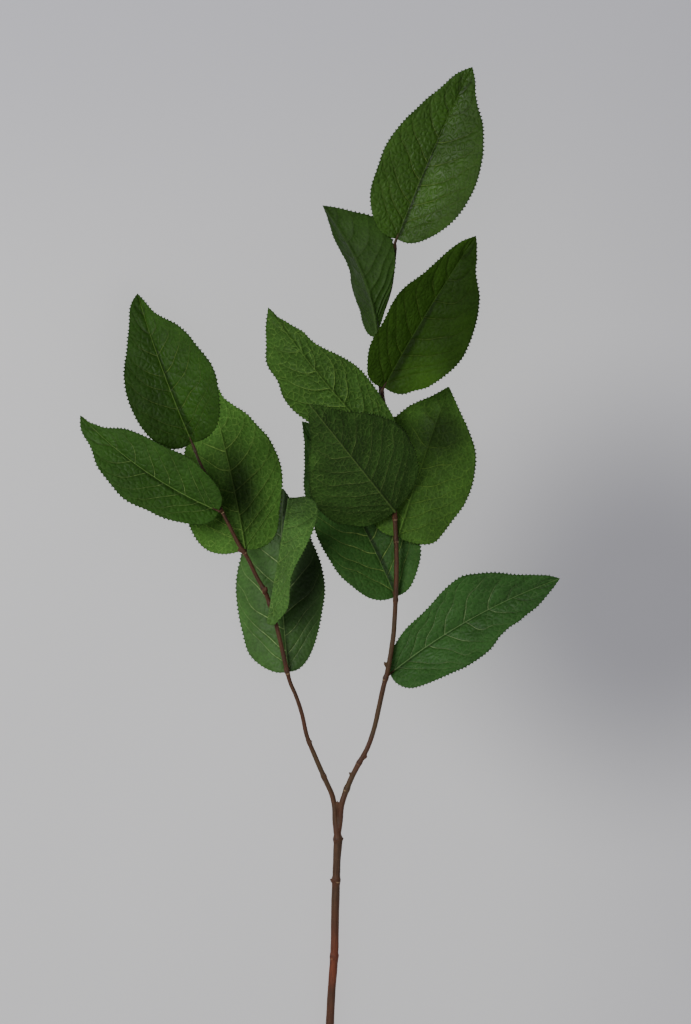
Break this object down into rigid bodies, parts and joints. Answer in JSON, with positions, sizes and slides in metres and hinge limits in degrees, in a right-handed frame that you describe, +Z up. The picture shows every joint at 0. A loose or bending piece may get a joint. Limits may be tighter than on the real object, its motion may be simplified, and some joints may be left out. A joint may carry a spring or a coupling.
{
  "type": "salal branch",
  "caption": "Cut salal branch laid on a surface: a slim forked stem with leathery, pointed, fine-toothed leaves seen from both faces.",
  "frame": {"origin": "middle of the branch's bounding box on the table plane", "axes": "+Y from the cut end towards the leafy tips, +X to the right seen from above, +Z up off the table"},
  "size_m": [0.2518, 0.5425, 0.0883],
  "materials": {
    "bark": "thin smooth reddish-brown bark, olive brown low on the stem",
    "leaf": "leathery leaf: dark, waxy and slightly glossy above, paler, duller and net-veined below"
  },
  "bodies": {
    "root": {"stem": "bark", "leaf_right_tip": "leaf", "leaf_right_folded": "leaf", "leaf_right_upper": "leaf", "leaf_middle_light": "leaf", "leaf_middle_front": "leaf", "leaf_middle_right": "leaf", "leaf_lower_middle": "leaf", "leaf_right_low": "leaf", "leaf_left_low": "leaf", "leaf_left_back": "leaf", "leaf_left_tip": "leaf", "leaf_left_far": "leaf", "leaf_left_rolled": "leaf"}
  },
  "joints": []
}
